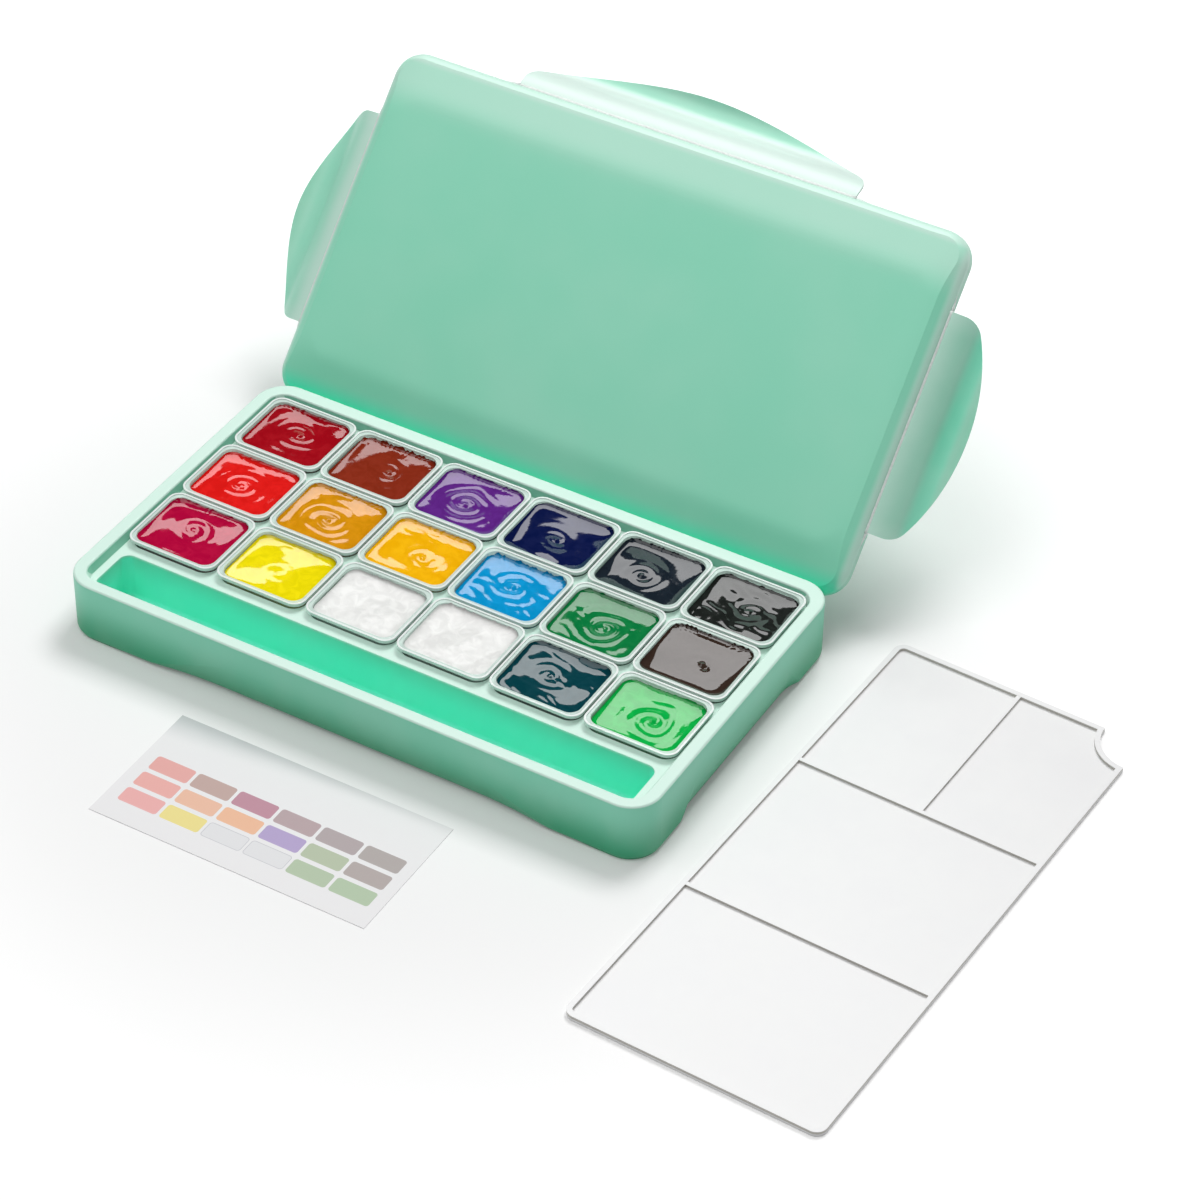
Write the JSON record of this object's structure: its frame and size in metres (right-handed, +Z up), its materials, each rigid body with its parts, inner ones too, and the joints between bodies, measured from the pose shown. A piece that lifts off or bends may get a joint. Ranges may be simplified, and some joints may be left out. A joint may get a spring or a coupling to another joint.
{
  "type": "gouache paint set box",
  "caption": "Shallow paint box with rows of lift-out gouache cups, a brush trough, a lid with hinged latch flaps leaning behind it, a mixing palette and a colour card",
  "frame": {"origin": "on the table under the middle of the tray, at the centre of the tray's middle foot", "axes": "+Z up, +X to the tray's right as its user sits, +Y from the trough side towards the lid"},
  "size_m": [0.4764, 0.4167, 0.1548],
  "materials": {
    "mint_plastic": "satin, slightly translucent",
    "white_plastic": "satin",
    "card": "smooth printed stock",
    "clear_plastic": "clear moulded",
    "paint_crimson": "wet, glossy gouache",
    "paint_red_brown": "wet, glossy gouache",
    "paint_violet": "wet, glossy gouache",
    "paint_ultramarine": "wet, glossy gouache",
    "paint_prussian": "wet, glossy gouache",
    "paint_black": "wet, glossy gouache",
    "paint_vermilion": "wet, glossy gouache",
    "paint_ochre": "wet, glossy gouache",
    "paint_orange_yellow": "wet, glossy gouache",
    "paint_cerulean": "wet, glossy gouache",
    "paint_emerald": "wet, glossy gouache",
    "paint_umber": "wet, glossy gouache",
    "paint_magenta": "wet, glossy gouache",
    "paint_lemon": "wet, glossy gouache",
    "paint_white_a": "wet, glossy gouache",
    "paint_white_b": "wet, glossy gouache",
    "paint_teal": "wet, glossy gouache",
    "paint_green": "wet, glossy gouache"
  },
  "bodies": {
    "tray": {"base": "mint_plastic"},
    "lid": {"lid": "mint_plastic"},
    "flap_lower": {"flap_lower": "mint_plastic"},
    "flap_upper": {"flap_upper": "mint_plastic"},
    "flap_left": {"flap_left": "mint_plastic"},
    "flap_right": {"flap_right": "mint_plastic"},
    "palette": {"palette": "white_plastic"},
    "card": {"colour_card": "card"},
    "cup_1_1": {"cup_1_1": "clear_plastic", "paint_1_1": "paint_crimson"},
    "cup_1_2": {"cup_1_2": "clear_plastic", "paint_1_2": "paint_red_brown"},
    "cup_1_3": {"cup_1_3": "clear_plastic", "paint_1_3": "paint_violet"},
    "cup_1_4": {"cup_1_4": "clear_plastic", "paint_1_4": "paint_ultramarine"},
    "cup_1_5": {"cup_1_5": "clear_plastic", "paint_1_5": "paint_prussian"},
    "cup_1_6": {"cup_1_6": "clear_plastic", "paint_1_6": "paint_black"},
    "cup_2_1": {"cup_2_1": "clear_plastic", "paint_2_1": "paint_vermilion"},
    "cup_2_2": {"cup_2_2": "clear_plastic", "paint_2_2": "paint_ochre"},
    "cup_2_3": {"cup_2_3": "clear_plastic", "paint_2_3": "paint_orange_yellow"},
    "cup_2_4": {"cup_2_4": "clear_plastic", "paint_2_4": "paint_cerulean"},
    "cup_2_5": {"cup_2_5": "clear_plastic", "paint_2_5": "paint_emerald"},
    "cup_2_6": {"cup_2_6": "clear_plastic", "paint_2_6": "paint_umber"},
    "cup_3_1": {"cup_3_1": "clear_plastic", "paint_3_1": "paint_magenta"},
    "cup_3_2": {"cup_3_2": "clear_plastic", "paint_3_2": "paint_lemon"},
    "cup_3_3": {"cup_3_3": "clear_plastic", "paint_3_3": "paint_white_a"},
    "cup_3_4": {"cup_3_4": "clear_plastic", "paint_3_4": "paint_white_b"},
    "cup_3_5": {"cup_3_5": "clear_plastic", "paint_3_5": "paint_teal"},
    "cup_3_6": {"cup_3_6": "clear_plastic", "paint_3_6": "paint_green"}
  },
  "joints": [
    {"name": "lid_lift", "type": "slide", "parent": "tray", "child": "lid", "axis": [0, 0, 1], "range_m": [0, 0.2]},
    {"name": "flap_lower_hinge", "type": "hinge", "parent": "lid", "child": "flap_lower", "pos_m": [-0.001, 0.08763, 0.0223], "axis": [1, 0, 0], "range_deg": [0, 7.5]},
    {"name": "flap_upper_hinge", "type": "hinge", "parent": "lid", "child": "flap_upper", "pos_m": [-0.001, 0.20815, 0.14711], "axis": [-1, 0, 0], "range_deg": [-32, 58]},
    {"name": "flap_right_hinge", "type": "hinge", "parent": "lid", "child": "flap_right", "pos_m": [0.15, 0.14789, 0.0847], "axis": [0, 0.6947, 0.7193], "range_deg": [-14, 76]},
    {"name": "flap_left_hinge", "type": "hinge", "parent": "lid", "child": "flap_left", "pos_m": [-0.152, 0.14789, 0.0847], "axis": [0, -0.6947, -0.7193], "range_deg": [-14, 76]},
    {"name": "palette_lift", "type": "slide", "parent": "tray", "child": "palette", "axis": [0, 0, 1], "range_m": [0, 0.12]},
    {"name": "card_lift", "type": "slide", "parent": "tray", "child": "card", "axis": [0, 0, 1], "range_m": [0, 0.12]},
    {"name": "cup_1_1_lift", "type": "slide", "parent": "tray", "child": "cup_1_1", "axis": [0, 0, 1], "range_m": [0, 0.06]},
    {"name": "cup_1_2_lift", "type": "slide", "parent": "tray", "child": "cup_1_2", "axis": [0, 0, 1], "range_m": [0, 0.06]},
    {"name": "cup_1_3_lift", "type": "slide", "parent": "tray", "child": "cup_1_3", "axis": [0, 0, 1], "range_m": [0, 0.06]},
    {"name": "cup_1_4_lift", "type": "slide", "parent": "tray", "child": "cup_1_4", "axis": [0, 0, 1], "range_m": [0, 0.06]},
    {"name": "cup_1_5_lift", "type": "slide", "parent": "tray", "child": "cup_1_5", "axis": [0, 0, 1], "range_m": [0, 0.06]},
    {"name": "cup_1_6_lift", "type": "slide", "parent": "tray", "child": "cup_1_6", "axis": [0, 0, 1], "range_m": [0, 0.06]},
    {"name": "cup_2_1_lift", "type": "slide", "parent": "tray", "child": "cup_2_1", "axis": [0, 0, 1], "range_m": [0, 0.06]},
    {"name": "cup_2_2_lift", "type": "slide", "parent": "tray", "child": "cup_2_2", "axis": [0, 0, 1], "range_m": [0, 0.06]},
    {"name": "cup_2_3_lift", "type": "slide", "parent": "tray", "child": "cup_2_3", "axis": [0, 0, 1], "range_m": [0, 0.06]},
    {"name": "cup_2_4_lift", "type": "slide", "parent": "tray", "child": "cup_2_4", "axis": [0, 0, 1], "range_m": [0, 0.06]},
    {"name": "cup_2_5_lift", "type": "slide", "parent": "tray", "child": "cup_2_5", "axis": [0, 0, 1], "range_m": [0, 0.06]},
    {"name": "cup_2_6_lift", "type": "slide", "parent": "tray", "child": "cup_2_6", "axis": [0, 0, 1], "range_m": [0, 0.06]},
    {"name": "cup_3_1_lift", "type": "slide", "parent": "tray", "child": "cup_3_1", "axis": [0, 0, 1], "range_m": [0, 0.06]},
    {"name": "cup_3_2_lift", "type": "slide", "parent": "tray", "child": "cup_3_2", "axis": [0, 0, 1], "range_m": [0, 0.06]},
    {"name": "cup_3_3_lift", "type": "slide", "parent": "tray", "child": "cup_3_3", "axis": [0, 0, 1], "range_m": [0, 0.06]},
    {"name": "cup_3_4_lift", "type": "slide", "parent": "tray", "child": "cup_3_4", "axis": [0, 0, 1], "range_m": [0, 0.06]},
    {"name": "cup_3_5_lift", "type": "slide", "parent": "tray", "child": "cup_3_5", "axis": [0, 0, 1], "range_m": [0, 0.06]},
    {"name": "cup_3_6_lift", "type": "slide", "parent": "tray", "child": "cup_3_6", "axis": [0, 0, 1], "range_m": [0, 0.06]}
  ]
}
